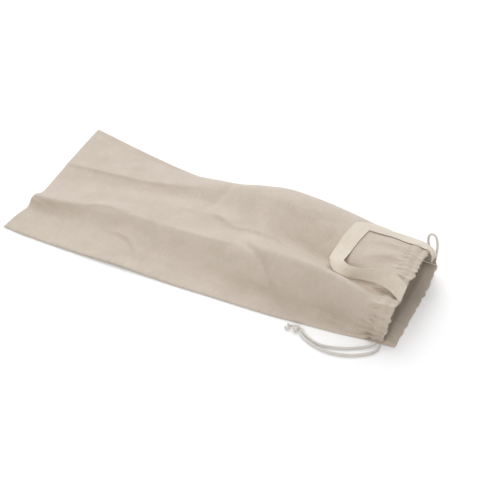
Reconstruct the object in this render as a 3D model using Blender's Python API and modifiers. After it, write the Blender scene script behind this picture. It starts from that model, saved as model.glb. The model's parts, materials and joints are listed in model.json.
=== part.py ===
"""Linen bread bag, lying on its back with the two humps that long loaves leave in it.

Front panel, back panel, one twill-tape handle loop and a drawcord. All tables are in
millimetres in the bag's own layout: x runs from the closed bottom (0) to the mouth (640),
y from the near side seam to the far one, z is the height over the table top.
"""
import math
import bpy
import bmesh
import numpy as np
from mathutils import Vector
from mathutils.bvhtree import BVHTree

MM = 0.001

# ---- driving dimensions, mm -------------------------------------------------
BAG_LENGTH = 640.0        # bottom edge to the hem edge, as it lies
BAG_WIDTH = 280.0         # flat width across the bottom
CLOTH = 1.5               # panel thickness
HEM = 2.6                 # doubled cloth of the drawcord channel
HEM_DEPTH = 24.0          # hem edge to channel stitching
GAP = 0.35                # clearance between sewn pieces
TAPE = 1.4
TAPE_CLEAR = 1.2          # tape over cloth
CORD_D = 4.0
KNOT_SIZE = (15.0, 12.0, 9.0)
CENTRE_X = 324.0          # middle of the bag's box, moved to the origin
CENTRE_Y = 137.5

FRONT_STATIONS = 47       # steps along the bag
FRONT_STEPS = 32          # steps across the front panel
BACK_STATIONS = 32
BACK_STEPS = 14

# ---- cross-sections of the front panel ---------------------------------------
# One row a section. (y, z) of: near seam, foot of the near slope, near slope,
# near crest (long ridge, then the near hump), valley, shelf, far crest (soft ridge,
# then the far hump), far shoulder, far seam.
SECTION_COLUMNS = ("x", "near_y", "near_z", "foot_y", "foot_z", "slope_y", "slope_z",
                   "crest_y", "crest_z", "valley_y", "valley_z", "shelf_y", "shelf_z",
                   "far_crest_y", "far_crest_z", "shoulder_y", "shoulder_z",
                   "far_y", "far_z")
SECTIONS = (
    (0,   -2, 0.0,  54,  3.4,  61,  6.2,  68, 11.6, 100,  4.6, 140,  3.8, 178,  5.6, 238,  3.8, 280,  0),
    (40,  -5, 0.0,  54,  3.6,  64,  6.6,  73, 13.0, 112,  7.0, 146,  4.6, 177,  7.6, 232,  4.6, 272,  0),
    (90,  -5, 0.4,  56,  4.0,  69,  8.4,  82, 14.5, 122,  9.5, 152,  6.6, 178,  9.8, 230,  6.0, 262,  0),
    (150, -4, 1.6,  53,  4.6,  72, 10.0,  91, 17.5, 132, 14.0, 160,  9.5, 183, 13.0, 227,  8.5, 251,  0),
    (210, -2, 2.4,  47,  5.0,  68, 12.0,  89, 20.5, 138, 18.0, 166, 14.0, 192, 18.5, 226, 13.0, 243,  0),
    (265, -1, 0.8,  44,  5.4,  66, 13.5,  87, 23.5, 142, 21.5, 168, 20.0, 203, 28.5, 228, 20.0, 240,  1),
    (310,  0, 0.4,  40,  5.8,  62, 15.5,  86, 27.0, 140, 24.0, 164, 28.0, 204, 40.0, 229, 26.0, 241,  3),
    (350,  2, 0.2,  36,  6.4,  60, 20.0,  87, 34.0, 130, 29.0, 152, 36.5, 202, 53.0, 229, 36.0, 240,  6),
    (400,  4, 0.0,  34,  7.5,  54, 28.0,  82, 51.0, 120, 38.0, 143, 46.0, 200, 63.5, 228, 44.5, 237,  9),
    (460,  7, 0.0,  37,  8.5,  51, 34.0,  75, 60.5, 120, 36.0, 146, 47.0, 196, 65.5, 222, 46.0, 231, 11),
    (500, 11, 0.0,  42,  9.0,  53, 36.0,  71, 61.5, 115, 33.0, 135, 47.0, 189, 64.5, 216, 46.0, 225, 12),
    (530, 14, 0.0,  44,  9.5,  53, 37.0,  68, 61.5,  97, 36.0, 112, 51.0, 184, 65.0, 210, 46.0, 219, 12),
    (570, 18, 0.0,  39, 12.0,  47, 38.0,  60, 60.0,  89, 38.0, 103, 55.0, 173, 66.0, 201, 47.0, 210, 12),
    (605, 23, 0.2,  34, 13.5,  40, 36.0,  54, 55.0,  82, 41.5,  98, 58.5, 155, 66.0, 191, 49.0, 201, 13),
    (640, 26, 0.4,  31, 16.0,  36, 37.0,  50, 54.0,  75, 43.5,  94, 60.5, 142, 66.0, 186, 47.0, 196, 16),
)

# how far the bottom edge sits in from x = 0, across the bag
BOTTOM_EDGE_COLUMNS = ("y", "inset")
BOTTOM_EDGE = ((-2, 0.0), (25, 2.0), (58, 7.5), (95, 8.5), (140, 6.0), (187, 3.5), (235, 1.0), (280, 0.0))

# how far the hem edge sits past x = 640, by the share of the way across the front panel
HEM_EDGE_COLUMNS = ("share", "past")
HEM_EDGE = ((0.0, -15), (0.12, -11), (0.25, -9), (0.42, -9), (0.56, -3), (0.75, -3), (1.0, 6))

# soft ridges and troughs of the front panel: start, middle, end, height, widths
CREASE_COLUMNS = ("x0", "y0", "x1", "y1", "x2", "y2", "height", "near_width", "far_width")
CREASES = (
    (288, 214, 302, 190, 317, 158, -3.5, 13, 16),   # dimple where the far hump begins
    (372,  90, 414,  70, 452,  34, -4.0, 15, 13),   # end of the near hump
    (192,  62, 216,  40, 243,  16,  2.2,  9, 12),   # ridge that runs off to the near seam
    (287, 137, 330, 140, 372, 130,  2.5, 12, 10),   # kinked edge of the long ridge
    (470, 146, 500, 132, 520, 112, -3.0, 12, 14),   # dip before the handle
    (545,  30, 585,  34, 612,  30, -2.0,  9,  9),   # pull towards the drawcord
    (575, 120, 598, 124, 614, 126, -2.2,  9,  9),   # pull on the far hump
    (560, 152, 590, 150, 614, 146, -2.0,  9,  9),
)

# ---- handle tape: middle line and lean (inner edge of the loop up is positive) ----------------
TAPE_EDGE_COLUMNS = ("outer_x", "outer_y", "outer_z", "inner_x", "inner_y", "inner_z")
NEAR_LEG = (
    (632, 65, 47, 634, 87, 63),
    (626, 71, 50, 626, 92, 66),
    (613, 78, 53, 612, 98, 70),
    (596, 83, 54, 598, 96, 72),
    (573, 84, 53, 583, 94, 72),
    (554, 81, 51, 566, 88, 70.5),
    (545, 78, 49, 555, 86, 70),
    (532, 80, 48, 545, 89, 67),
    (520, 90, 47.5, 538, 95, 63),
    (507, 109, 48, 531, 104, 57),
)
CROSS_BAR = (
    (507, 109, 48, 531, 104, 57),
    (510, 144, 56, 536, 136, 59.5),
    (519, 180, 61, 544, 171, 65.5),
)
FAR_LEG = (
    (519, 180, 61, 544, 171, 65.5),
    (542, 189, 61.5, 560, 171, 66.5),
    (566, 196, 61.5, 581, 173, 67),
    (587, 198, 62.5, 602, 173, 67.5),
    (607, 198, 63, 619, 174, 67.5),
    (626, 196, 61.5, 634, 172, 65),
    (639, 189, 58, 643, 166, 62),
    (648, 178, 53, 646, 155, 56.5),
)

# ---- drawcord, middle lines ------------------------------------------------------
CORD_COLUMNS = ("x", "y", "z")
CORD_A = ((617, 20.5, 4.6), (613, 14.5, 3.4), (603, 6.5, 2.4), (583, -5, 2.3), (562, -12.5, 2.3),
          (547, -15.5, 2.3), (532, -13.5, 2.3), (518, -8.5, 2.5), (507.5, -2.2, 3.8))
CORD_B = ((623, 20.5, 4.2), (622, 9, 2.9), (614, -1, 2.3), (598, -12, 2.3), (584, -18, 2.3),
          (570, -21.5, 2.3), (557, -22.3, 2.3), (543, -21.5, 2.3), (529, -18.5, 2.3),
          (516, -13.5, 2.5), (507.5, -8.6, 3.6))
KNOT_AT = (499.0, -5.0, 4.8)
TAIL_A = ((490.5, -3.6, 3.2), (486.5, -2.2, 2.6), (482.5, -1.6, 2.3))
TAIL_B = ((490.3, -8.4, 3.0), (486.0, -9.6, 2.5), (480.5, -9.0, 2.3))
FAR_LOOP = ((637, 202.5, 24), (632, 205.5, 36), (628, 207.5, 50), (627.5, 208, 62), (631, 208.5, 70.5),
            (637.5, 207.5, 71.0), (641.5, 205.5, 63), (643, 204.5, 50), (643.5, 203.5, 36), (643, 202, 24))

MATERIALS = {
    "linen_cloth": ((0.66, 0.56, 0.44), 0.88),
    "twill_tape": ((0.78, 0.68, 0.54), 0.82),
    "cotton_cord": ((0.80, 0.73, 0.63), 0.85),
}


def monotone(xs, ys, at):
    """Smooth curve through the rows of a table that never overshoots them."""
    xs, ys, at = np.asarray(xs, float), np.asarray(ys, float), np.asarray(at, float)
    h, d = np.diff(xs), np.diff(ys) / np.diff(xs)
    m = np.zeros(len(xs))
    m[0], m[-1] = d[0], d[-1]
    for i in range(1, len(xs) - 1):
        if d[i - 1] * d[i] > 0:
            w1, w2 = 2 * h[i] + h[i - 1], h[i] + 2 * h[i - 1]
            m[i] = (w1 + w2) / (w1 / d[i - 1] + w2 / d[i])
    i = np.clip(np.searchsorted(xs, at, side="right") - 1, 0, len(xs) - 2)
    t = np.clip((at - xs[i]) / h[i], 0, 1)
    return ((2 * t**3 - 3 * t**2 + 1) * ys[i] + (t**3 - 2 * t**2 + t) * h[i] * m[i]
            + (3 * t**2 - 2 * t**3) * ys[i + 1] + (t**3 - t**2) * h[i] * m[i + 1])


def table(rows, names, name, at):
    rows = np.array(rows, float)
    return monotone(rows[:, 0], rows[:, names.index(name)], at)


def smoothstep(t):
    t = np.clip(t, 0, 1)
    return t * t * (3 - 2 * t)


def section(x, steps):
    """Front panel cross-section at station x: steps + 1 points, evenly spaced along the cloth."""
    row = {n: float(table(SECTIONS, SECTION_COLUMNS, n, x)) for n in SECTION_COLUMNS[1:]}
    keys = ("near", "foot", "slope", "crest", "valley", "shelf", "far_crest", "shoulder", "far")
    ys = np.array([row[k + "_y"] for k in keys])
    zs = np.array([row[k + "_z"] for k in keys])
    knots = np.concatenate(([0], np.cumsum(np.hypot(np.diff(ys), np.diff(zs)))))
    fine = np.linspace(0, knots[-1], 400)
    y, z = monotone(knots, ys, fine), monotone(knots, zs, fine)
    for _ in range(60):
        y[1:-1] = 0.25 * y[:-2] + 0.5 * y[1:-1] + 0.25 * y[2:]
        z[1:-1] = 0.25 * z[:-2] + 0.5 * z[1:-1] + 0.25 * z[2:]
    run = np.concatenate(([0], np.cumsum(np.hypot(np.diff(y), np.diff(z)))))
    even = np.linspace(0, run[-1], steps + 1)
    return np.interp(even, run, y), np.interp(even, run, z)


def thickness(x):
    """Panel thickness: single cloth, doubled at the hem."""
    return CLOTH + (HEM - CLOTH) * smoothstep((x - (BAG_LENGTH - HEM_DEPTH - 14)) / 8.0)


def back_lift(x, y):
    """Underside of the back panel: flat on the table, lifted at a few places of its edge."""
    near = table(SECTIONS, SECTION_COLUMNS, "near_y", x)
    far = table(SECTIONS, SECTION_COLUMNS, "far_y", x)
    z = 6.6 * np.exp(-((y - 68) / 13.0) ** 2) * np.exp(-(x / 42.0) ** 2)
    z = z + table(SECTIONS, SECTION_COLUMNS, "near_z", x) * np.exp(-((y - near) / 15.0) ** 2)
    z = z + table(SECTIONS, SECTION_COLUMNS, "far_z", x) * np.exp(-((far - y) / 26.0) ** 2)
    return np.where(z < 0.05, 0.0, z)


def front_floor(x, y):
    """Lowest height for the inner face of the front panel: it clears the back panel."""
    lift = back_lift(x, y)
    slope = np.maximum(abs(back_lift(x, y + 3) - lift), abs(lift - back_lift(x, y - 3))) / 3.0
    slope = np.maximum(slope, abs(back_lift(x + 6, y) - back_lift(x - 6, y)) / 12.0)
    return lift + thickness(x) * np.sqrt(1 + slope**2) + GAP + 0.9 * slope


def crease(x, y, row):
    """Height of one soft ridge or trough at (x, y)."""
    c = dict(zip(CREASE_COLUMNS, row))
    t = np.linspace(0, 1, 41)
    px = (1 - t)**2 * c["x0"] + 2 * t * (1 - t) * (2 * c["x1"] - 0.5 * (c["x0"] + c["x2"])) + t**2 * c["x2"]
    py = (1 - t)**2 * c["y0"] + 2 * t * (1 - t) * (2 * c["y1"] - 0.5 * (c["y0"] + c["y2"])) + t**2 * c["y2"]
    d2 = (x[..., None] - px)**2 + (y[..., None] - py)**2
    i = np.argmin(d2, axis=-1)
    side = np.where(y - py[i] < 0, c["near_width"], c["far_width"])
    return c["height"] * np.exp(-d2.min(axis=-1) / side**2) * np.sin(np.pi * (0.08 + 0.84 * t[i]))


def to_world(x, y, z):
    return ((x - CENTRE_X) * MM, (y - CENTRE_Y) * MM, z * MM)


def material(name):
    if name in bpy.data.materials:
        return bpy.data.materials[name]
    mat = bpy.data.materials.new(name)
    mat.use_nodes = True
    bsdf = mat.node_tree.nodes["Principled BSDF"]
    colour, rough = MATERIALS[name]
    bsdf.inputs["Base Color"].default_value = (*colour, 1)
    bsdf.inputs["Roughness"].default_value = rough
    bsdf.inputs["Metallic"].default_value = 0.0
    mat.diffuse_color = (*colour, 1)
    return mat


def grid_object(name, xyz, mat, collection, thick, weights=None):
    """A grid of points as a cloth sheet: primitive grid, moved to the points, then thickened."""
    nu, nv = xyz.shape[0], xyz.shape[1]
    bm = bmesh.new()
    bmesh.ops.create_grid(bm, x_segments=nu - 1, y_segments=nv - 1, size=1.0)
    bm.verts.ensure_lookup_table()
    order = sorted(range(len(bm.verts)), key=lambda k: (round(bm.verts[k].co.x, 5), round(bm.verts[k].co.y, 5)))
    place = np.empty(len(order), int)
    for rank, k in enumerate(order):
        u, v = divmod(rank, nv)
        bm.verts[k].co = to_world(*xyz[u, v])
        place[k] = rank
    for f in bm.faces:
        f.smooth = True
    bm.normal_update()
    mesh = bpy.data.meshes.new(name)
    bm.to_mesh(mesh)
    bm.free()
    obj = bpy.data.objects.new(name, mesh)
    collection.objects.link(obj)
    mesh.materials.append(material(mat))
    solid = obj.modifiers.new("Thickness", "SOLIDIFY")
    solid.thickness = thick * MM
    solid.offset = 1.0
    solid.use_even_offset = False
    if weights is not None:
        group = obj.vertex_groups.new(name="hem")
        flat = weights.reshape(-1)
        for k in range(len(place)):
            group.add([k], float(flat[place[k]]), "REPLACE")
        solid.vertex_group = "hem"
        solid.thickness_vertex_group = CLOTH / HEM
    return obj


def cord_object(name, rows, collection, radius=None):
    """A round cord on a smooth curve through its rows."""
    pts = np.array(rows, float)
    run = np.concatenate(([0], np.cumsum(np.linalg.norm(np.diff(pts, axis=0), axis=1))))
    count = max(3, int(round(run[-1] / (2.2 * CORD_D))) + 1)
    even = np.linspace(0, run[-1], count)
    # Catmull-Rom through the rows, read off evenly
    out = []
    ext = np.vstack((2 * pts[0] - pts[1], pts, 2 * pts[-1] - pts[-2]))
    for s in even:
        i = min(max(int(np.searchsorted(run, s, side="right")) - 1, 0), len(pts) - 2)
        t = (s - run[i]) / (run[i + 1] - run[i])
        a, b, c, d = ext[i], ext[i + 1], ext[i + 2], ext[i + 3]
        out.append(0.5 * (2 * b + (c - a) * t + (2 * a - 5 * b + 4 * c - d) * t**2 + (3 * b - a - 3 * c + d) * t**3))
    curve = bpy.data.curves.new(name, "CURVE")
    curve.dimensions = "3D"
    curve.bevel_depth = (radius or CORD_D / 2) * MM
    curve.bevel_resolution = 2
    curve.use_fill_caps = True
    spline = curve.splines.new("POLY")
    spline.points.add(len(out) - 1)
    for p, q in zip(spline.points, out):
        p.co = (*to_world(*q), 1)
    curve.materials.append(material("cotton_cord"))
    obj = bpy.data.objects.new(name, curve)
    collection.objects.link(obj)
    return obj


def back_panel(collection):
    xyz = np.empty((BACK_STATIONS + 1, BACK_STEPS + 1, 3))
    share = np.linspace(0, 1, BACK_STEPS + 1)
    share = 0.5 - 0.5 * np.sin(np.pi * (0.5 - share)) * 0.35 - (0.5 - share) * 0.65
    weight = np.empty(xyz.shape[:2])
    for i, s in enumerate(np.linspace(0, 1, BACK_STATIONS + 1)):
        st = BAG_LENGTH * s
        near = float(table(SECTIONS, SECTION_COLUMNS, "near_y", st))
        far = float(table(SECTIONS, SECTION_COLUMNS, "far_y", st))
        y = near + (far - near) * share
        inset = table(BOTTOM_EDGE, BOTTOM_EDGE_COLUMNS, "inset", y)
        x = st + inset * (1 - smoothstep(st / 150.0)) + (3 + 5 * share) * smoothstep((st - 540) / 100.0)
        xyz[i, :, 0], xyz[i, :, 1], xyz[i, :, 2] = x, y, back_lift(np.full_like(y, st), y)
        weight[i] = (thickness(st) - CLOTH) / (HEM - CLOTH)
    return grid_object("back_panel", xyz, "linen_cloth", collection, HEM, weight), xyz


def front_panel(collection):
    xyz = np.empty((FRONT_STATIONS + 1, FRONT_STEPS + 1, 3))
    share = np.linspace(0, 1, FRONT_STEPS + 1)
    weight = np.empty(xyz.shape[:2])
    for i, s in enumerate(np.linspace(0, 1, FRONT_STATIONS + 1)):
        st = BAG_LENGTH * s
        y, z = section(st, FRONT_STEPS)
        for row in CREASES:
            z = z + crease(np.full_like(y, st), y, row) * smoothstep(share / 0.08) * smoothstep((1 - share) / 0.08)
        inset = table(BOTTOM_EDGE, BOTTOM_EDGE_COLUMNS, "inset", np.clip(y, -2, BAG_WIDTH))
        past = table(HEM_EDGE, HEM_EDGE_COLUMNS, "past", share)
        x = st + inset * (1 - smoothstep(st / 150.0)) + past * smoothstep((st - 540) / 100.0)
        z = np.maximum(z - CLOTH, front_floor(np.full_like(y, st), y))
        xyz[i, :, 0], xyz[i, :, 1], xyz[i, :, 2] = x, y, z
        weight[i] = (thickness(st) - CLOTH) / (HEM - CLOTH)
    # even out the kinks left by the floor clearance, edges excepted
    for _ in range(2):
        inner = 0.5 * xyz[1:-1, 1:-1, 2] + 0.125 * (xyz[:-2, 1:-1, 2] + xyz[2:, 1:-1, 2] + xyz[1:-1, :-2, 2] + xyz[1:-1, 2:, 2])
        xyz[1:-1, 1:-1, 2] = np.maximum(inner, 0.0)
    st = np.linspace(0, BAG_LENGTH, FRONT_STATIONS + 1)[:, None] * np.ones((1, FRONT_STEPS + 1))
    xyz[:, :, 2] = np.maximum(xyz[:, :, 2], front_floor(st, xyz[:, :, 1]))
    return grid_object("front_panel", xyz, "linen_cloth", collection, HEM, weight), xyz


def surface_tree(obj):
    deps = bpy.context.evaluated_depsgraph_get()
    deps.update()
    return BVHTree.FromObject(obj, deps)


def spline_rows(rows, step):
    """Edge rows of the tape carried on a smooth line at an even step."""
    pts = np.array(rows, float)
    mid = 0.5 * (pts[:, :3] + pts[:, 3:])
    run = np.concatenate(([0], np.cumsum(np.linalg.norm(np.diff(mid, axis=0), axis=1))))
    ext = np.vstack((2 * pts[0] - pts[1], pts, 2 * pts[-1] - pts[-2]))
    out = []
    for q in np.linspace(0, run[-1], int(round(run[-1] / step)) + 1):
        i = min(max(int(np.searchsorted(run, q, side="right")) - 1, 0), len(pts) - 2)
        t = (q - run[i]) / (run[i + 1] - run[i])
        a, b, c, d = ext[i], ext[i + 1], ext[i + 2], ext[i + 3]
        out.append(0.5 * (2 * b + (c - a) * t + (2 * a - 5 * b + 4 * c - d) * t**2 + (3 * b - a - 3 * c + d) * t**3))
    return np.array(out)


def handle_tape(collection, cloth):
    """The tape as a ribbon between its two edges, folded at both ends of the cross bar, clear of the cloth."""
    legs = [spline_rows(rows, 5.0) for rows in (NEAR_LEG, CROSS_BAR, FAR_LEG)]
    edges = np.vstack((legs[0], legs[1][1:], legs[2][1:]))
    count = len(edges)
    shares = (0.0, 0.25, 0.5, 0.75, 1.0)
    xyz = np.empty((count, len(shares), 3))
    for j, w in enumerate(shares):
        xyz[:, j] = edges[:, :3] * (1 - w) + edges[:, 3:] * w
    # lift each cross-line until all of it clears the cloth
    rise = np.zeros(count)
    for i in range(count):
        for j in range(len(shares)):
            for dx, dy in ((0, 0), (4, 0), (-4, 0), (0, 4), (0, -4)):
                p = to_world(xyz[i, j, 0] + dx, xyz[i, j, 1] + dy, 300)
                hit = cloth.ray_cast(Vector(p), Vector((0, 0, -1)))[0]
                if hit is not None:
                    rise[i] = max(rise[i], hit.z / MM + TAPE_CLEAR - xyz[i, j, 2])
    wide = np.array([rise[max(0, i - 2):i + 3].max() for i in range(count)])
    for _ in range(4):
        wide[1:-1] = np.maximum(rise[1:-1], 0.25 * wide[:-2] + 0.5 * wide[1:-1] + 0.25 * wide[2:])
    xyz[:, :, 2] += wide[:, None]
    obj = grid_object("handle_tape", xyz, "twill_tape", collection, TAPE)
    return obj, xyz, wide


def knot(name, collection):
    """Overhand knot as one lumpy solid."""
    bm = bmesh.new()
    bmesh.ops.create_uvsphere(bm, u_segments=20, v_segments=12, radius=0.5)
    for v in bm.verts:
        a = math.atan2(v.co.z, v.co.y)
        lump = 1 + 0.13 * math.cos(2 * a + 7 * v.co.x) * (1 - (2 * v.co.x) ** 2)
        v.co = (v.co.x * KNOT_SIZE[0] * MM, v.co.y * lump * KNOT_SIZE[1] * MM, v.co.z * lump * KNOT_SIZE[2] * MM)
    for f in bm.faces:
        f.smooth = True
    mesh = bpy.data.meshes.new(name)
    bm.to_mesh(mesh)
    bm.free()
    mesh.materials.append(material("cotton_cord"))
    obj = bpy.data.objects.new(name, mesh)
    obj.location = to_world(*KNOT_AT)
    collection.objects.link(obj)
    return obj


def main():
    for obj in list(bpy.data.objects):
        bpy.data.objects.remove(obj, do_unlink=True)
    bag = bpy.data.collections.new("linen_bread_bag")
    bpy.context.scene.collection.children.link(bag)
    back, back_xyz = back_panel(bag)
    front, front_xyz = front_panel(bag)
    tape, tape_xyz, rise = handle_tape(bag, surface_tree(front))
    cord_object("cord_a", CORD_A, bag)
    cord_object("cord_b", CORD_B, bag)
    knot("cord_knot", bag)
    cord_object("cord_tail_a", TAIL_A, bag)
    cord_object("cord_tail_b", TAIL_B, bag)
    cord_object("cord_far_loop", FAR_LOOP, bag)
    print("tape rise mm", np.round(rise, 1).tolist())
    for n, g in (("front", front_xyz), ("back", back_xyz), ("tape", tape_xyz)):
        print(n, g.min((0, 1)).round(2).tolist(), g.max((0, 1)).round(2).tolist())


main()
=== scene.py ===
"""Looks of the linen bread bag: fine cloth panels, twill tape handle, twisted drawcord, stitching."""
import json
import math
import bpy
import bmesh
import numpy as np
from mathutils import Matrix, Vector
from mathutils.bvhtree import BVHTree

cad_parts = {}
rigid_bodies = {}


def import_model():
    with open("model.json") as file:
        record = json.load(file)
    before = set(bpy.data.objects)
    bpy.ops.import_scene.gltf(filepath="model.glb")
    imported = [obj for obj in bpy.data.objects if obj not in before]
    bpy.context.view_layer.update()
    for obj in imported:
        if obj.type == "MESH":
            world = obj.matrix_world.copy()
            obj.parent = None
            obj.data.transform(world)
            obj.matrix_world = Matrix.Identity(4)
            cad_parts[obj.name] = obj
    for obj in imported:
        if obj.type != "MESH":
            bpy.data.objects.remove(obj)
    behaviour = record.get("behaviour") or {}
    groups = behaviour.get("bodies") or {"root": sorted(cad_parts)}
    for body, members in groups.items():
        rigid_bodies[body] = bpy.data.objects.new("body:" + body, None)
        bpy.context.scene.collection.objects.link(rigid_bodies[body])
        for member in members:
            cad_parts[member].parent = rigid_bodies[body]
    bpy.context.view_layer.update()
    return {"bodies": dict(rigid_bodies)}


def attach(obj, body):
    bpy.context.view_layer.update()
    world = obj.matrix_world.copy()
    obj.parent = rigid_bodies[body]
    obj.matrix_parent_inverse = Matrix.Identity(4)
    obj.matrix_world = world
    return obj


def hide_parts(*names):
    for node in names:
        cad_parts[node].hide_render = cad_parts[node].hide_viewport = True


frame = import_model()

MM = 0.001
rng = np.random.default_rng(11)

# ---- sizes and tables of the bag's own layout, in mm, as in the part's source ----------
BAG_LENGTH, BAG_WIDTH = 640.0, 280.0
CLOTH, HEM, HEM_DEPTH, GAP = 1.5, 2.6, 24.0, 0.35
TAPE_WIDTH, TAPE = 25.5, 1.4
CORD_D = 4.0
CENTRE_X, CENTRE_Y = 324.0, 137.5

SECTION_COLUMNS = ("x", "near_y", "near_z", "foot_y", "foot_z", "slope_y", "slope_z",
                   "crest_y", "crest_z", "valley_y", "valley_z", "shelf_y", "shelf_z",
                   "far_crest_y", "far_crest_z", "shoulder_y", "shoulder_z",
                   "far_y", "far_z")
SECTIONS = (
    (0,   -2, 0.0,  56,  3.4,  62,  6.8,  68, 12.4, 100,  4.6, 140,  3.8, 178,  5.6, 238,  3.8, 280,  0),
    (40,  -5, 0.0,  57,  3.6,  65,  7.2,  73, 13.8, 112,  7.0, 146,  4.6, 177,  7.6, 232,  4.6, 272,  0),
    (90,  -5, 0.4,  56,  4.0,  69,  8.4,  82, 14.5, 122,  9.5, 152,  6.6, 178,  9.8, 230,  6.0, 262,  0),
    (150, -4, 1.6,  53,  4.6,  72, 10.0,  91, 17.5, 132, 14.0, 160,  9.5, 183, 13.0, 227,  8.5, 251,  0),
    (210, -2, 2.4,  47,  5.0,  68, 12.0,  89, 20.5, 138, 18.0, 166, 14.0, 192, 18.5, 226, 13.0, 243,  0),
    (265, -1, 0.8,  44,  5.4,  66, 13.5,  87, 23.5, 142, 21.5, 168, 20.0, 203, 28.5, 228, 20.0, 240,  1),
    (310,  0, 0.4,  40,  5.8,  62, 15.5,  86, 27.0, 140, 24.0, 164, 28.0, 204, 40.0, 229, 26.0, 241,  3),
    (350,  2, 0.2,  36,  6.4,  60, 20.0,  87, 34.0, 130, 29.0, 152, 36.5, 202, 53.0, 229, 36.0, 240,  6),
    (400,  4, 0.0,  34,  7.5,  54, 28.0,  82, 51.0, 120, 38.0, 143, 46.0, 200, 63.5, 228, 44.5, 237,  9),
    (460,  7, 0.0,  37,  8.5,  51, 34.0,  75, 60.5, 120, 36.0, 146, 47.0, 196, 65.5, 222, 46.0, 231, 11),
    (500, 11, 0.0,  42,  9.0,  53, 36.0,  71, 61.5, 115, 33.0, 135, 47.0, 189, 64.5, 216, 46.0, 225, 12),
    (530, 14, 0.0,  44,  9.5,  53, 37.0,  68, 61.5,  97, 36.0, 112, 51.0, 184, 65.0, 210, 46.0, 219, 12),
    (570, 18, 0.0,  39, 12.0,  47, 38.0,  60, 60.0,  89, 38.0, 103, 55.0, 173, 66.0, 201, 47.0, 210, 12),
    (605, 23, 0.2,  34, 13.5,  40, 36.0,  54, 55.0,  82, 41.5,  98, 58.5, 155, 66.0, 191, 49.0, 201, 13),
    (640, 26, 0.4,  31, 16.0,  36, 37.0,  50, 54.0,  75, 43.5,  94, 60.5, 142, 66.0, 186, 47.0, 196, 16),
)
BOTTOM_EDGE_COLUMNS = ("y", "inset")
BOTTOM_EDGE = ((-2, 0.0), (25, 2.0), (58, 7.5), (95, 8.5), (140, 6.0), (187, 3.5), (235, 1.0), (280, 0.0))
HEM_EDGE_COLUMNS = ("share", "past")
HEM_EDGE = ((0.0, -15), (0.12, -11), (0.25, -9), (0.42, -9), (0.56, -3), (0.75, -3), (1.0, 6))
CREASE_COLUMNS = ("x0", "y0", "x1", "y1", "x2", "y2", "height", "near_width", "far_width")
CREASES = (
    (288, 214, 302, 190, 317, 158, -3.5, 13, 16),   # dimple where the far hump begins
    (372,  90, 414,  68, 452,  32, -5.0, 15, 10),   # end of the near hump
    (384,  66, 408,  54, 430,  38, -5.0, 15, 10),   # hollow in front of that end
    (192,  62, 216,  40, 243,  16,  2.2,  9, 12),   # ridge that runs off to the near seam
    (287, 137, 330, 140, 372, 130,  2.5, 12, 10),   # kinked edge of the long ridge
    (470, 146, 500, 132, 520, 112, -3.0, 12, 14),   # dip before the handle
    (545,  30, 585,  34, 612,  30, -2.0,  9,  9),   # pull towards the drawcord
    (575, 120, 598, 124, 614, 126, -2.2,  9,  9),   # pull on the far hump
    (560, 152, 590, 150, 614, 146, -2.0,  9,  9),
)
CORD_COLUMNS = ("x", "y", "z")
CORD_A = ((617, 20.5, 4.6), (613, 14.5, 3.4), (603, 6.5, 2.4), (583, -5, 2.3), (562, -12.5, 2.3),
          (547, -15.0, 2.3), (533, -12.0, 2.3), (520, -6.0, 2.5), (512.5, 0.2, 3.8))
CORD_B = ((623, 20.5, 4.2), (622, 9, 2.9), (614, -1, 2.3), (598, -12, 2.3), (584, -18, 2.3),
          (570, -21.5, 2.3), (557, -22.3, 2.3), (543, -20.5, 2.3), (530, -16.5, 2.3),
          (519, -11.0, 2.5), (512.5, -5.6, 3.6))
KNOT_AT = (504.5, -2.0, 4.8)
TAIL_A = ((496.5, -0.6, 3.2), (493.5, 0.6, 2.7), (490.5, 1.2, 2.3))
TAIL_B = ((496.3, -5.2, 3.0), (493.0, -6.2, 2.5), (489.0, -5.8, 2.3))
FAR_LOOP = ((635, 202.5, 24), (630, 205.0, 34), (626, 206.5, 46), (625, 207, 56), (628, 207.5, 62.5),
            (634, 206.5, 63.0), (638.5, 205.0, 57), (641, 204.0, 46), (641.5, 203.0, 34), (641, 202, 24))

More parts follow.
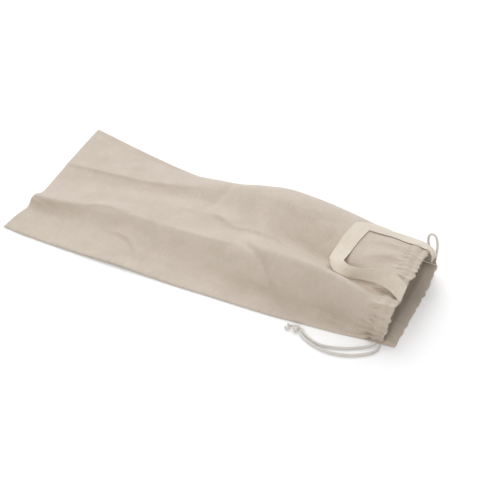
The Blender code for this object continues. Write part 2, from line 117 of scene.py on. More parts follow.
# ---- fine folds of the front panel, only in the looks --------------------------------
FINE_CREASES = (
    # x0, y0, x1, y1, x2, y2, height, near_width, far_width
    (-20, 171, 60, 174, 130, 178, 2.8, 3.2, 13),
    (104, 176, 165, 181, 255, 195, 2.2, 4.5, 14),
    (-50, 62, 30, 71, 108, 86, 4.0, 3.4, 15),
    (98, 83, 122, 93, 160, 95, 2.8, 4, 13),
    (130, 95, 210, 90, 290, 88, 3.2, 6, 16),
    (262, 88, 320, 87, 382, 86, 3.6, 6, 15),
    (215, 138, 265, 142, 305, 143, 1.6, 9, 7),
    (294, 145, 318, 138, 348, 124, 3.8, 4, 9),
    (334, 127, 390, 124, 470, 106, 2.8, 6, 12),
    (280, 148, 290, 182, 297, 214, -2.6, 6, 10),
    (366, 96, 410, 70, 462, 26, -5.2, 9, 5.5),
    (362, 100, 372, 93, 384, 87, 1.2, 4, 6),
    (160, 58, 205, 48, 246, 0, 3.0, 3.2, 11),
    (214, 36, 226, 22, 238, 8, 1.2, 2.6, 6),
    (380, 196, 430, 178, 500, 170, 1.4, 12, 16),
    (440, 178, 470, 172, 505, 172, -1.3, 6, 8),
    (540, 66, 566, 54, 598, 48, 1.3, 6, 10),
    (470, 118, 486, 140, 500, 158, -1.6, 9, 9),
    (522, 42, 560, 40, 596, 37, -1.2, 8, 10),
    (40, 118, 100, 124, 170, 128, 0.8, 10, 14),
    (20, 214, 110, 212, 190, 214, 0.8, 10, 12),
    (60, 24, 120, 22, 200, 20, 0.7, 9, 9),
    (330, 40, 380, 26, 440, 18, 0.9, 8, 8),
    (545, 118, 575, 132, 612, 140, 1.2, 5, 8),
    (540, 150, 575, 158, 612, 160, 1.2, 6, 8),
    (552, 172, 580, 168, 612, 150, -1.4, 5, 7),
)
TAPE_EDGE_COLUMNS = ("outer_x", "outer_y", "outer_z", "inner_x", "inner_y", "inner_z")
NEAR_LEG = (
    (632, 65, 47, 634, 87, 63),
    (626, 71, 50, 626, 92, 66),
    (613, 78, 53, 612, 98, 70),
    (596, 83, 54, 598, 96, 72),
    (573, 84, 53, 583, 94, 72),
    (554, 81, 51, 566, 88, 70.5),
    (545, 78, 49, 555, 86, 70),
    (532, 80, 48, 545, 89, 67),
    (520, 90, 47.5, 538, 95, 63),
    (507, 109, 48, 531, 104, 57),
)
CROSS_BAR = (
    (507, 109, 48, 531, 104, 57),
    (510, 144, 54.5, 536, 136, 57.5),
    (519, 180, 58.5, 544, 171, 63),
)
FAR_LEG = (
    (519, 180, 58.5, 544, 171, 63),
    (542, 188, 57.5, 560, 171, 63.5),
    (566, 194, 55.5, 581, 173, 63.5),
    (587, 195.5, 55, 602, 173, 63.5),
    (607, 195, 55, 619, 173, 63.5),
    (626, 193, 54.5, 634, 171, 61.5),
    (639, 187, 53, 643, 165, 59.5),
    (648, 178, 53, 646, 155, 56.5),
)

# =============================== shape functions ==========================================


def monotone(xs, ys, at):
    xs, ys, at = np.asarray(xs, float), np.asarray(ys, float), np.asarray(at, float)
    h, d = np.diff(xs), np.diff(ys) / np.diff(xs)
    m = np.zeros(len(xs))
    m[0], m[-1] = d[0], d[-1]
    for i in range(1, len(xs) - 1):
        if d[i - 1] * d[i] > 0:
            w1, w2 = 2 * h[i] + h[i - 1], h[i] + 2 * h[i - 1]
            m[i] = (w1 + w2) / (w1 / d[i - 1] + w2 / d[i])
    i = np.clip(np.searchsorted(xs, at, side="right") - 1, 0, len(xs) - 2)
    t = np.clip((at - xs[i]) / h[i], 0, 1)
    return ((2 * t**3 - 3 * t**2 + 1) * ys[i] + (t**3 - 2 * t**2 + t) * h[i] * m[i]
            + (3 * t**2 - 2 * t**3) * ys[i + 1] + (t**3 - t**2) * h[i] * m[i + 1])


def table(rows, names, name, at):
    rows = np.array(rows, float)
    return monotone(rows[:, 0], rows[:, names.index(name)], at)


def sec(name, at):
    return table(SECTIONS, SECTION_COLUMNS, name, at)


def smoothstep(t):
    t = np.clip(t, 0, 1)
    return t * t * (3 - 2 * t)


def section(x, shares):
    row = {n: float(sec(n, x)) for n in SECTION_COLUMNS[1:]}
    keys = ("near", "foot", "slope", "crest", "valley", "shelf", "far_crest", "shoulder", "far")
    ys = np.array([row[k + "_y"] for k in keys])
    zs = np.array([row[k + "_z"] for k in keys])
    knots = np.concatenate(([0], np.cumsum(np.hypot(np.diff(ys), np.diff(zs)))))
    fine = np.linspace(0, knots[-1], 400)
    y, z = monotone(knots, ys, fine), monotone(knots, zs, fine)
    for _ in range(26):
        y[1:-1] = 0.25 * y[:-2] + 0.5 * y[1:-1] + 0.25 * y[2:]
        z[1:-1] = 0.25 * z[:-2] + 0.5 * z[1:-1] + 0.25 * z[2:]
    run = np.concatenate(([0], np.cumsum(np.hypot(np.diff(y), np.diff(z)))))
    even = shares * run[-1]
    return np.interp(even, run, y), np.interp(even, run, z)


def thickness(x):
    return CLOTH + (HEM - CLOTH) * smoothstep((x - (BAG_LENGTH - HEM_DEPTH - 14)) / 8.0)


def back_lift(x, y):
    near, far = sec("near_y", x), sec("far_y", x)
    z = 9.0 * np.exp(-((y - 66) / np.where(y < 66, 7.0, 17.0)) ** 2) * np.exp(-(x / 42.0) ** 2)
    z = z + sec("near_z", x) * np.exp(-((y - near) / 15.0) ** 2)
    z = z + sec("far_z", x) * np.exp(-((far - y) / 26.0) ** 2)
    return np.where(z < 0.05, 0.0, z)


def front_floor(x, y):
    lift = back_lift(x, y)
    slope = np.maximum(abs(back_lift(x, y + 3) - lift), abs(lift - back_lift(x, y - 3))) / 3.0
    slope = np.maximum(slope, abs(back_lift(x + 6, y) - back_lift(x - 6, y)) / 12.0)
    return lift + thickness(x) * np.sqrt(1 + slope**2) + GAP + 0.9 * slope


def bezier3(c, t):
    """Curve through the start, middle and end of a crease row, at shares t."""
    bx = 2 * c[2] - 0.5 * (c[0] + c[4])
    by = 2 * c[3] - 0.5 * (c[1] + c[5])
    return ((1 - t)**2 * c[0] + 2 * t * (1 - t) * bx + t**2 * c[4],
            (1 - t)**2 * c[1] + 2 * t * (1 - t) * by + t**2 * c[5])


def crease(x, y, c):
    t = np.linspace(0, 1, 41)
    px, py = bezier3(c, t)
    reach = 3.2 * max(c[7], c[8])
    out = np.zeros_like(x)
    box = (x > px.min() - reach) & (x < px.max() + reach) & (y > py.min() - reach) & (y < py.max() + reach)
    if not box.any():
        return out
    d2 = (x[box][:, None] - px)**2 + (y[box][:, None] - py)**2
    i = np.argmin(d2, axis=-1)
    side = np.where(y[box] - py[i] < 0, c[7], c[8])
    out[box] = c[6] * np.exp(-d2.min(axis=-1) / side**2) * np.sin(np.pi * (0.08 + 0.84 * t[i]))
    return out


def fine_fold(x, y, c):
    """A fine crease: a crisp line with a soft fall on each side, each of its own width."""
    t = np.linspace(0, 1, 61)
    px, py = bezier3(c, t)
    reach = 5.0 * max(c[7], c[8])
    out = np.zeros_like(x)
    box = (x > px.min() - reach) & (x < px.max() + reach) & (y > py.min() - reach) & (y < py.max() + reach)
    if not box.any():
        return out
    d2 = (x[box][:, None] - px)**2 + (y[box][:, None] - py)**2
    i = np.argmin(d2, axis=-1)
    d = np.sqrt(d2.min(axis=-1))
    side = np.where(y[box] - py[i] < 0, c[7], c[8])
    soft = np.sqrt((d / side)**2 + 0.09) - 0.3
    out[box] = c[6] * np.exp(-1.15 * soft - 0.25 * (d / side)**2) * np.sin(np.pi * (0.06 + 0.88 * t[i])) ** 0.8
    return out


def fine_front(stations, shares):
    """The inner face of the front panel on a fine grid: stations along the bag, shares across it."""
    xyz = np.empty((len(stations), len(shares), 3))
    for i, st in enumerate(stations):
        y, z = section(st, shares)
        for row in CREASES:
            z = z + crease(np.full_like(y, st), y, row) * smoothstep(shares / 0.08) * smoothstep((1 - shares) / 0.08)
        inset = table(BOTTOM_EDGE, BOTTOM_EDGE_COLUMNS, "inset", np.clip(y, -2, BAG_WIDTH))
        past = table(HEM_EDGE, HEM_EDGE_COLUMNS, "past", shares)
        xyz[i, :, 0] = st + inset * (1 - smoothstep(st / 150.0)) + past * smoothstep((st - 540) / 100.0)
        xyz[i, :, 1] = y
        xyz[i, :, 2] = np.maximum(z - CLOTH, front_floor(np.full_like(y, st), y))
    st = stations[:, None] * np.ones((1, len(shares)))
    for _ in range(3):
        inner = 0.5 * xyz[1:-1, 1:-1, 2] + 0.125 * (xyz[:-2, 1:-1, 2] + xyz[2:, 1:-1, 2] + xyz[1:-1, :-2, 2] + xyz[1:-1, 2:, 2])
        xyz[1:-1, 1:-1, 2] = inner
    xyz[:, :, 2] = np.maximum(xyz[:, :, 2], front_floor(st, xyz[:, :, 1]))
    return xyz


def normals(xyz):
    du = np.gradient(xyz, axis=0)
    dv = np.gradient(xyz, axis=1)
    n = np.cross(du, dv)
    return n / np.maximum(np.linalg.norm(n, axis=2), 1e-9)[..., None]


def blur(g, passes):
    for _ in range(passes):
        g = np.pad(g, ((1, 1), (1, 1)) + ((0, 0),) * (g.ndim - 2), mode="edge")
        g = 0.5 * g[1:-1, 1:-1] + 0.125 * (g[:-2, 1:-1] + g[2:, 1:-1] + g[1:-1, :-2] + g[1:-1, 2:])
    return g


def world(p):
    p = np.asarray(p, float)
    return (p - np.array((CENTRE_X, CENTRE_Y, 0.0))) * MM


def waves(length, count, low, high, seed):
    """Seeded sum of soft waves along a length: returns a function of position."""
    r = np.random.default_rng(seed)
    k = 2 * np.pi / r.uniform(low, high, count)
    ph = r.uniform(0, 2 * np.pi, count)
    amp = r.uniform(0.5, 1.0, count)
    amp /= np.sqrt((amp**2).sum())

    def f(s):
        return sum(a * np.sin(kk * s + p) for a, kk, p in zip(amp, k, ph))
    return f


# =============================== mesh building ==========================================


def sheet_mesh(name, xyz, uv_mm, mat, thick, offset):
    """A grid of points (mm) as a smooth cloth mesh with UVs in metres, thickened into a closed sheet."""
    nu, nv = xyz.shape[:2]
    verts = world(xyz.reshape(-1, 3))
    idx = np.arange(nu * nv).reshape(nu, nv)
    quads = np.stack((idx[:-1, :-1], idx[1:, :-1], idx[1:, 1:], idx[:-1, 1:]), -1).reshape(-1, 4)
    mesh = bpy.data.meshes.new(name)
    mesh.from_pydata(verts.tolist(), [], quads.tolist())
    mesh.update()
    layer = mesh.uv_layers.new(name="cloth")
    loops = np.empty(len(mesh.loops), int)
    mesh.loops.foreach_get("vertex_index", loops)
    flat = (uv_mm.reshape(-1, 2) * MM)[loops]
    layer.data.foreach_set("uv", flat.astype(np.float32).ravel())
    mesh.polygons.foreach_set("use_smooth", np.ones(len(mesh.polygons), bool))
    mesh.materials.append(mat)
    obj = bpy.data.objects.new(name, mesh)
    bpy.context.scene.collection.objects.link(obj)
    solid = obj.modifiers.new("Thickness", "SOLIDIFY")
    solid.thickness = thick * MM
    solid.offset = offset
    solid.use_even_offset = False
    return obj


def tube_mesh(name, path, radius, mat, sides=14, twist_mm=None, lobes=3, lobe_depth=0.0, taper=None, closed=False):
    """A cord as a mesh tube on a path (mm), with its strands twisted round it."""
    path = np.asarray(path, float)
    n = len(path)
    if closed:
        tang = np.roll(path, -1, 0) - np.roll(path, 1, 0)
    else:
        tang = np.gradient(path, axis=0)
    tang /= np.linalg.norm(tang, axis=1)[:, None]
    ref = np.array((0.0, 0.0, 1.0)) if abs(tang[0, 2]) < 0.9 else np.array((1.0, 0, 0))
    nrm = np.empty_like(path)
    v = ref - tang[0] * (ref @ tang[0])
    nrm[0] = v / np.linalg.norm(v)
    for i in range(1, n):
        v = nrm[i - 1] - tang[i] * (nrm[i - 1] @ tang[i])
        nrm[i] = v / np.linalg.norm(v)
    if closed:
        # share out the turn that is left between the last frame and the first
        b0 = np.cross(tang[0], nrm[0])
        v = nrm[-1] - tang[0] * (nrm[-1] @ tang[0])
        left = math.atan2(v @ b0, v @ nrm[0])
    else:
        left = 0.0
    bi = np.cross(tang, nrm)
    run = np.concatenate(([0], np.cumsum(np.linalg.norm(np.diff(path, axis=0), axis=1))))
    ang = np.linspace(0, 2 * np.pi, sides, endpoint=False)
    verts, uvs = [], []
    for i in range(n):
        turn = -left * i / n
        phase = 2 * np.pi * run[i] / twist_mm if twist_mm else 0.0
        r = radius * (1 - lobe_depth + lobe_depth * np.abs(np.cos(0.5 * lobes * (ang + phase))) ** 0.7)
        if taper is not None:
            r = r * taper[i]
        for k, a in enumerate(ang):
            aa = a + turn
            verts.append(path[i] + r[k] * (math.cos(aa) * nrm[i] + math.sin(aa) * bi[i]))
            uvs.append((run[i], a / (2 * np.pi) * 2 * np.pi * radius))
    faces = []
    rings = n if closed else n - 1
    for i in range(rings):
        j = (i + 1) % n
        for k in range(sides):
            q = (k + 1) % sides
            faces.append((i * sides + k, i * sides + q, j * sides + q, j * sides + k))
    if not closed:
        faces.append(tuple(range(sides - 1, -1, -1)))
        faces.append(tuple((n - 1) * sides + k for k in range(sides)))
    mesh = bpy.data.meshes.new(name)
    mesh.from_pydata(world(np.array(verts)).tolist(), [], faces)
    layer = mesh.uv_layers.new(name="cloth")
    uvs = np.array(uvs) * MM
    loops = np.empty(len(mesh.loops), int)
    mesh.loops.foreach_get("vertex_index", loops)
    layer.data.foreach_set("uv", uvs[loops].astype(np.float32).ravel())
    mesh.polygons.foreach_set("use_smooth", np.ones(len(mesh.polygons), bool))
    mesh.materials.append(mat)
    mesh.validate()
    bm = bmesh.new()
    bm.from_mesh(mesh)
    bmesh.ops.recalc_face_normals(bm, faces=bm.faces)
    bm.to_mesh(mesh)
    bm.free()
    obj = bpy.data.objects.new(name, mesh)
    bpy.context.scene.collection.objects.link(obj)
    return obj


def smooth_path(rows, step):
    pts = np.array(rows, float)
    run = np.concatenate(([0], np.cumsum(np.linalg.norm(np.diff(pts, axis=0), axis=1))))
    ext = np.vstack((2 * pts[0] - pts[1], pts, 2 * pts[-1] - pts[-2]))
    out = []
    for s in np.linspace(0, run[-1], max(3, int(round(run[-1] / step)) + 1)):
        i = min(max(int(np.searchsorted(run, s, side="right")) - 1, 0), len(pts) - 2)
        t = (s - run[i]) / (run[i + 1] - run[i])
        a, b, c, d = ext[i], ext[i + 1], ext[i + 2], ext[i + 3]
        out.append(0.5 * (2 * b + (c - a) * t + (2 * a - 5 * b + 4 * c - d) * t**2 + (3 * b - a - 3 * c + d) * t**3))
    return np.array(out)


# =============================== materials ==============================================


def nodes_of(name):
    mat = bpy.data.materials.new(name)
    mat.use_nodes = True
    nt = mat.node_tree
    bsdf = nt.nodes["Principled BSDF"]
    return mat, nt, bsdf


def link(nt, a, b):
    nt.links.new(a, b)


def math_node(nt, op, a, b=None, clamp=False):
    n = nt.nodes.new("ShaderNodeMath")
    n.operation = op
    n.use_clamp = clamp
    for k, v in enumerate((a, b)):
        if v is None:
            continue
        if isinstance(v, (int, float)):
            n.inputs[k].default_value = v
        else:
            link(nt, v, n.inputs[k])
    return n.outputs[0]


def noise(nt, vec, scale, detail=3.0, rough=0.55, stretch=(1, 1, 1)):
    m = nt.nodes.new("ShaderNodeMapping")
    m.inputs["Scale"].default_value = stretch
    link(nt, vec, m.inputs["Vector"])
    n = nt.nodes.new("ShaderNodeTexNoise")
    n.inputs["Scale"].default_value = scale
    n.inputs["Detail"].default_value = detail
    n.inputs["Roughness"].default_value = rough
    link(nt, m.outputs[0], n.inputs["Vector"])
    return n.outputs["Fac"]


def ramp(nt, fac, stops):
    r = nt.nodes.new("ShaderNodeValToRGB")
    e = r.color_ramp.elements
    while len(e) < len(stops):
        e.new(0.5)
    for k, (pos, col) in enumerate(stops):
        e[k].position = pos
        e[k].color = (*col, 1)
    link(nt, fac, r.inputs[0])
    return r.outputs[0]


def mix_colour(nt, fac, a, b, mode="MIX"):
    n = nt.nodes.new("ShaderNodeMix")
    n.data_type = "RGBA"
    n.blend_type = mode
    for sock, v in ((n.inputs[0], fac), (n.inputs[6], a), (n.inputs[7], b)):
        if isinstance(v, (int, float)):
            sock.default_value = v
        elif isinstance(v, tuple):
            sock.default_value = (*v, 1)
        else:
            link(nt, v, sock)
    return n.outputs[2]


def uv_parts(nt):
    uv = nt.nodes.new("ShaderNodeUVMap")
    uv.uv_map = "cloth"
    sep = nt.nodes.new("ShaderNodeSeparateXYZ")
    link(nt, uv.outputs[0], sep.inputs[0])
    return uv.outputs[0], sep.outputs[0], sep.outputs[1]


def plain_weave(nt, u, v, pitch, uv):
    """Height of a plain weave: over and under threads, each a little uneven."""
    wob = noise(nt, uv, 90.0, 2.0)
    k = 2 * math.pi / pitch
    su = math_node(nt, "SINE", math_node(nt, "ADD", math_node(nt, "MULTIPLY", u, k), math_node(nt, "MULTIPLY", wob, 2.2)))
    sv = math_node(nt, "SINE", math_node(nt, "ADD", math_node(nt, "MULTIPLY", v, k), math_node(nt, "MULTIPLY", wob, 2.2)))
    return math_node(nt, "ADD", math_node(nt, "MULTIPLY", math_node(nt, "MULTIPLY", su, sv), 0.5), 0.5)


def bump(nt, height, strength, distance, below=None):
    b = nt.nodes.new("ShaderNodeBump")
    b.inputs["Strength"].default_value = strength
    b.inputs["Distance"].default_value = distance
    link(nt, height, b.inputs["Height"])
    if below is not None:
        link(nt, below, b.inputs["Normal"])
    return b.outputs[0]


def linen(name, base, dark, light):
    mat, nt, bsdf = nodes_of(name)
    uv, u, v = uv_parts(nt)
    warp = noise(nt, uv, 1.0, 3.0, 0.6, (45, 1500, 1))      # long thin slubs along the bag
    weft = noise(nt, uv, 1.0, 3.0, 0.6, (1500, 45, 1))      # and across it
    mottle = noise(nt, uv, 22.0, 4.0, 0.6)
    fleck = noise(nt, uv, 1.0, 2.0, 0.5, (420, 700, 1))
    threads = math_node(nt, "MULTIPLY", math_node(nt, "ADD", warp, weft), 0.5)
    col = ramp(nt, threads, ((0.36, dark), (0.5, base), (0.66, light)))
    soft = ramp(nt, mottle, ((0.35, (0.93, 0.925, 0.915)), (0.65, (1.0, 1.0, 1.0))))
    col = mix_colour(nt, 1.0, col, soft, "MULTIPLY")
    spots = ramp(nt, fleck, ((0.69, (1, 1, 1)), (0.76, (0.86, 0.80, 0.70))))
    col = mix_colour(nt, 0.55, col, spots, "MULTIPLY")
    weave = plain_weave(nt, u, v, 0.0008, uv)
    col = mix_colour(nt, 1.0, col, ramp(nt, weave, ((0.0, (0.93, 0.925, 0.915)), (0.75, (1, 1, 1)))), "MULTIPLY")
    link(nt, col, bsdf.inputs["Base Color"])
    rough = math_node(nt, "ADD", math_node(nt, "MULTIPLY", threads, 0.16), 0.78)
    link(nt, rough, bsdf.inputs["Roughness"])
    height = math_node(nt, "ADD", math_node(nt, "MULTIPLY", weave, 0.5), math_node(nt, "MULTIPLY", threads, 1.0))
    n1 = bump(nt, mottle, 0.25, 0.0012)
    link(nt, bump(nt, height, 0.45, 0.0003, n1), bsdf.inputs["Normal"])
    bsdf.inputs["Specular IOR Level"].default_value = 0.25
    bsdf.inputs["Sheen Weight"].default_value = 0.22
    bsdf.inputs["Sheen Roughness"].default_value = 0.55
    bsdf.inputs["Sheen Tint"].default_value = (0.95, 0.93, 0.92, 1)
    return mat


def twill(name, base, dark, light):
    """Herringbone twill: diagonal ribs that turn at the middle of the tape."""
    mat, nt, bsdf = nodes_of(name)
    uv, u, v = uv_parts(nt)
    side = math_node(nt, "ABSOLUTE", math_node(nt, "SUBTRACT", math_node(nt, "PINGPONG", v, 0.0031), 0.0))
    diag = math_node(nt, "SINE", math_node(nt, "MULTIPLY", math_node(nt, "ADD", u, side), 2 * math.pi / 0.0011))
    fine = math_node(nt, "SINE", math_node(nt, "MULTIPLY", v, 2 * math.pi / 0.0007))
    rib = math_node(nt, "ADD", math_node(nt, "MULTIPLY", diag, 0.38), math_node(nt, "ADD", math_node(nt, "MULTIPLY", fine, 0.10), 0.5))
    slub = noise(nt, uv, 1.0, 3.0, 0.6, (60, 1400, 1))
    mottle = noise(nt, uv, 40.0, 3.0, 0.6)
    col = ramp(nt, slub, ((0.34, dark), (0.5, base), (0.68, light)))
    col = mix_colour(nt, 1.0, col, ramp(nt, rib, ((0.0, (0.90, 0.885, 0.86)), (0.6, (1, 1, 1)))), "MULTIPLY")
    col = mix_colour(nt, 1.0, col, ramp(nt, mottle, ((0.3, (0.95, 0.945, 0.935)), (0.65, (1, 1, 1)))), "MULTIPLY")
    link(nt, col, bsdf.inputs["Base Color"])
    link(nt, math_node(nt, "ADD", math_node(nt, "MULTIPLY", rib, 0.12), 0.74), bsdf.inputs["Roughness"])
    link(nt, bump(nt, rib, 0.5, 0.0003), bsdf.inputs["Normal"])
    bsdf.inputs["Specular IOR Level"].default_value = 0.25
    bsdf.inputs["Sheen Weight"].default_value = 0.15
    bsdf.inputs["Sheen Roughness"].default_value = 0.5
    return mat


def cord_mat(name, base, dark, light):
    """Braided cotton: crossing diagonals round the cord."""
    mat, nt, bsdf = nodes_of(name)
    uv, u, v = uv_parts(nt)
    k = 2 * math.pi / 0.0021
    a = math_node(nt, "SINE", math_node(nt, "MULTIPLY", math_node(nt, "ADD", u, math_node(nt, "MULTIPLY", v, 1.0)), k))
    b = math_node(nt, "SINE", math_node(nt, "MULTIPLY", math_node(nt, "SUBTRACT", u, math_node(nt, "MULTIPLY", v, 1.0)), k))
    plait = math_node(nt, "ADD", math_node(nt, "MULTIPLY", math_node(nt, "MAXIMUM", a, b), 0.5), 0.5)
    hair = noise(nt, uv, 1.0, 3.0, 0.7, (500, 1800, 1))
    col = ramp(nt, plait, ((0.15, dark), (0.55, base), (0.95, light)))
    col = mix_colour(nt, 1.0, col, ramp(nt, hair, ((0.3, (0.92, 0.91, 0.89)), (0.65, (1, 1, 1)))), "MULTIPLY")
    link(nt, col, bsdf.inputs["Base Color"])
    link(nt, math_node(nt, "ADD", math_node(nt, "MULTIPLY", hair, 0.15), 0.75), bsdf.inputs["Roughness"])
    link(nt, bump(nt, math_node(nt, "ADD", plait, math_node(nt, "MULTIPLY", hair, 0.4)), 0.6, 0.0004), bsdf.inputs["Normal"])
    bsdf.inputs["Specular IOR Level"].default_value = 0.3
    bsdf.inputs["Sheen Weight"].default_value = 0.2
    bsdf.inputs["Sheen Roughness"].default_value = 0.5
    return mat


LINEN = linen("linen_cloth_look", (0.590, 0.512, 0.436), (0.528, 0.448, 0.368), (0.640, 0.568, 0.500))
TWILL = twill("twill_tape_look", (0.735, 0.660, 0.565), (0.690, 0.610, 0.510), (0.775, 0.710, 0.620))
CORD = cord_mat("cotton_cord_look", (0.71, 0.68, 0.635), (0.52, 0.49, 0.45), (0.80, 0.775, 0.735))
THREAD = cord_mat("stitch_thread_look", (0.74, 0.68, 0.58), (0.62, 0.56, 0.46), (0.80, 0.75, 0.66))

# =============================== camera =================================================

cam_data = bpy.data.cameras.new("camera")
cam_data.sensor_fit = "HORIZONTAL"
cam_data.sensor_width = 36.0
cam_data.lens = 18.0 / math.tan(math.radians(26.0) / 2)
cam_data.clip_start, cam_data.clip_end = 0.05, 30.0
cam = bpy.data.objects.new("camera", cam_data)
bpy.context.scene.collection.objects.link(cam)
cam.location = (0.90650 - CENTRE_X * MM, -0.97717 - CENTRE_Y * MM, 1.13753)
look = Vector((-0.43769 * math.cos(math.radians(43)), 0.89913 * math.cos(math.radians(43)), -math.sin(math.radians(43))))
cam.rotation_euler = look.to_track_quat("-Z", "Y").to_euler()
bpy.context.scene.camera = cam

# =============================== front panel ============================================

STITCH = 27.0
STATIONS = np.concatenate((np.linspace(0, 12, 9), np.linspace(12, 556, 172)[1:], np.linspace(556, 640, 74)[1:]))
ACROSS = 156
SHARES = np.concatenate(([0, 0.0016, 0.0035, 0.006, 0.0095], np.linspace(0.014, 0.986, ACROSS - 9), [0.9905, 0.994, 0.9965, 0.9984, 1.0]))


def build_front():
    xyz = fine_front(STATIONS, SHARES)
    st = STATIONS[:, None] * np.ones((1, len(SHARES)))
    sh = np.ones((len(STATIONS), 1)) * SHARES[None, :]
    x, y = xyz[:, :, 0], xyz[:, :, 1]
    dv = np.linalg.norm(np.diff(xyz, axis=1), axis=2)
    arc = np.concatenate((np.zeros((len(STATIONS), 1)), np.cumsum(dv, axis=1)), axis=1)
    total = arc[:, -1:]
    n = normals(blur(xyz, 2))
    # outer face of the panel: close to the back panel where the bag lies flat
    high = smoothstep((xyz[:, :, 2:3] - 3.5) / 12.0)
    xyz = xyz + n * (0.15 + (CLOTH - 0.15) * high)

    press = 2.4 * np.exp(-((arc - 17) / 13.0) ** 2) * smoothstep((st - 350) / 70.0) * (1 - 0.6 * smoothstep((st - 600) / 20.0))
    xyz[:, :, 2] = np.maximum(xyz[:, :, 2] - press, back_lift(st, xyz[:, :, 1]) + 1.9)
    near_d, far_d = arc, total - arc               # distance from each side seam, along the cloth
    edge_d = np.minimum(near_d, far_d)
    hem_d = BAG_LENGTH - st                        # distance from the hem edge
    lift = np.zeros_like(st)

    for c in FINE_CREASES:
        lift += fine_fold(x, y, c)

    # soft unevenness of washed cloth, longer along the bag than across it
    wide1, wide2 = waves(280, 7, 26, 70, 3), waves(280, 7, 17, 44, 4)
    drift1, drift2 = waves(640, 5, 180, 420, 5), waves(640, 5, 90, 260, 6)
    lift += 0.30 * wide1(arc + 14 * drift1(st)) * (0.6 + 0.4 * drift2(st + 0.6 * arc))
    lift += 0.15 * wide2(arc + 9 * drift2(st)) * (0.5 + 0.5 * drift1(st + arc))
    cross = waves(640, 7, 22, 60, 8)
    lift += 0.14 * cross(st + 0.5 * arc) * wide1(arc * 0.5 + 40)

    # the seam allowance inside both long edges, and the small puckers that a seam draws
    allowance = 10.5
    step = 0.45 * (1 - smoothstep((edge_d - allowance + 1.0) / 2.2)) * smoothstep(edge_d / 2.0)
    ridge = 0.35 * np.exp(-((edge_d - 2.6) / 1.5) ** 2)
    lift += (step + ridge) * smoothstep((hem_d - 22) / 10)
    for d, seed in ((near_d, 21), (far_d, 22)):
        pucker = waves(640, 9, 7, 19, seed)(st)
        lift += 0.34 * pucker * np.exp(-(d / 12.0)) * smoothstep(d / 3.0) * smoothstep((hem_d - 10) / 30)

    # gathers: fine folds that run out from the channel on both sides of its stitching
    g = np.zeros_like(st)
    r = np.random.default_rng(42)
    at = 3.0
    pos = arc * (232.0 / total)
    away = hem_d - STITCH
    inside = np.maximum(away, 0)
    while at < 230:
        centre = at + r.uniform(-1.2, 1.2)
        width = r.uniform(1.5, 2.5)
        share_c = centre / 232.0
        ends = max(math.exp(-((share_c - 0.03) / 0.17) ** 2), 0.9 * math.exp(-((share_c - 0.88) / 0.17) ** 2), 0.8 * math.exp(-((share_c - 0.36) / 0.08) ** 2))
        height = r.uniform(0.55, 1.0) * (0.9 + 1.5 * ends)
        inward = r.uniform(9, 22) * (0.6 + 0.9 * ends)
        drift = r.uniform(-0.18, 0.18)
        across = pos - centre - drift * away
        widen = width * (1 + inside / 26.0)
        reach = np.where(away > 0, np.exp(-inside / inward), 0.72 + 0.28 * np.exp(np.minimum(away, 0) / 5.0))
        g += height * np.exp(-(across / widen) ** 2) * reach
        at += r.uniform(4.8, 8.4)
    g -= blur(g, 40)
    lift += 3.6 * g

    # the channel: pinched at the stitching, full over the cord, flat at the folded edge
    pinch = -1.1 * np.exp(-((hem_d - STITCH) / 2.0) ** 2)
    full = 1.5 * np.exp(-((hem_d - 18.0) / 5.4) ** 2)
    edge = -0.6 * np.exp(-((hem_d - 9.5) / 1.8) ** 2)
    body = 1.0 * smoothstep((STITCH + 2.0 - hem_d) / 3.0)
    lift += (pinch + full + edge + body) * smoothstep((edge_d - 1) / 5.0)

    n2 = normals(blur(xyz, 1))
    fade = smoothstep(edge_d / 2.5) * smoothstep(st / 2.5)
    xyz = xyz + n2 * (lift * fade)[..., None]

    # the hem edge is drawn in unevenly by the gathers
    ruffle = waves(232, 9, 7, 22, 31)(arc * (232.0 / total))
    xyz[:, :, 0] += (1.15 * ruffle * np.exp(-hem_d / 9.0) + 0.35 * ruffle * np.exp(-((hem_d - STITCH) / 6) ** 2)) * smoothstep(edge_d / 8)
    xyz[:, :, 2] += 0.5 * waves(232, 7, 11, 26, 33)(arc) * np.exp(-hem_d / 8.0) * smoothstep(edge_d / 14)

    # the edges turn down onto the back panel, as a seam that was sewn inside out does
    low = back_lift(st, y) + 1.0
    radius = 1.9
    for d in (near_d, far_d):
        k = np.clip(d / radius, 0, 1)
        round_off = np.sqrt(np.clip(1 - (1 - k) ** 2, 0, 1))
        xyz[:, :, 2] = np.where(k < 1, low + (xyz[:, :, 2] - low) * round_off, xyz[:, :, 2])
    k = np.clip(st / 3.0, 0, 1)
    round_off = np.sqrt(np.clip(1 - (1 - k) ** 2, 0, 1))
    xyz[:, :, 2] = np.where(k < 1, low + (xyz[:, :, 2] - low) * round_off, xyz[:, :, 2])
    # folded hem edge
    k = np.clip(hem_d / 1.6, 0, 1)
    drop = 1.1 * (1 - np.sqrt(np.clip(1 - (1 - k) ** 2, 0, 1)))
    xyz = xyz - n2 * drop[..., None] * (edge_d > 3)[..., None]

    # the channel's opening at the near corner, where the cords come out
    gape = np.exp(-((hem_d - 21.0) / 5.0) ** 2) * np.exp(-(near_d / 5.5) ** 2)
    xyz[:, :, 2] += 4.6 * gape
    xyz[:, :, 1] += 0.8 * gape
    # the inner face stays clear of the back panel
    xyz[:, :, 2] = np.maximum(xyz[:, :, 2], back_lift(st, y) + 1.45)

    uv = np.stack((st * 1.0, arc + 0.0), -1)
    uv[:, :, 1] = arc - 0.5 * total
    return xyz, uv, arc, total


front_xyz, front_uv, front_arc, front_total = build_front()
front = sheet_mesh("cloth_front", front_xyz, front_uv, LINEN, 0.95, -1.0)

# =============================== back panel =============================================


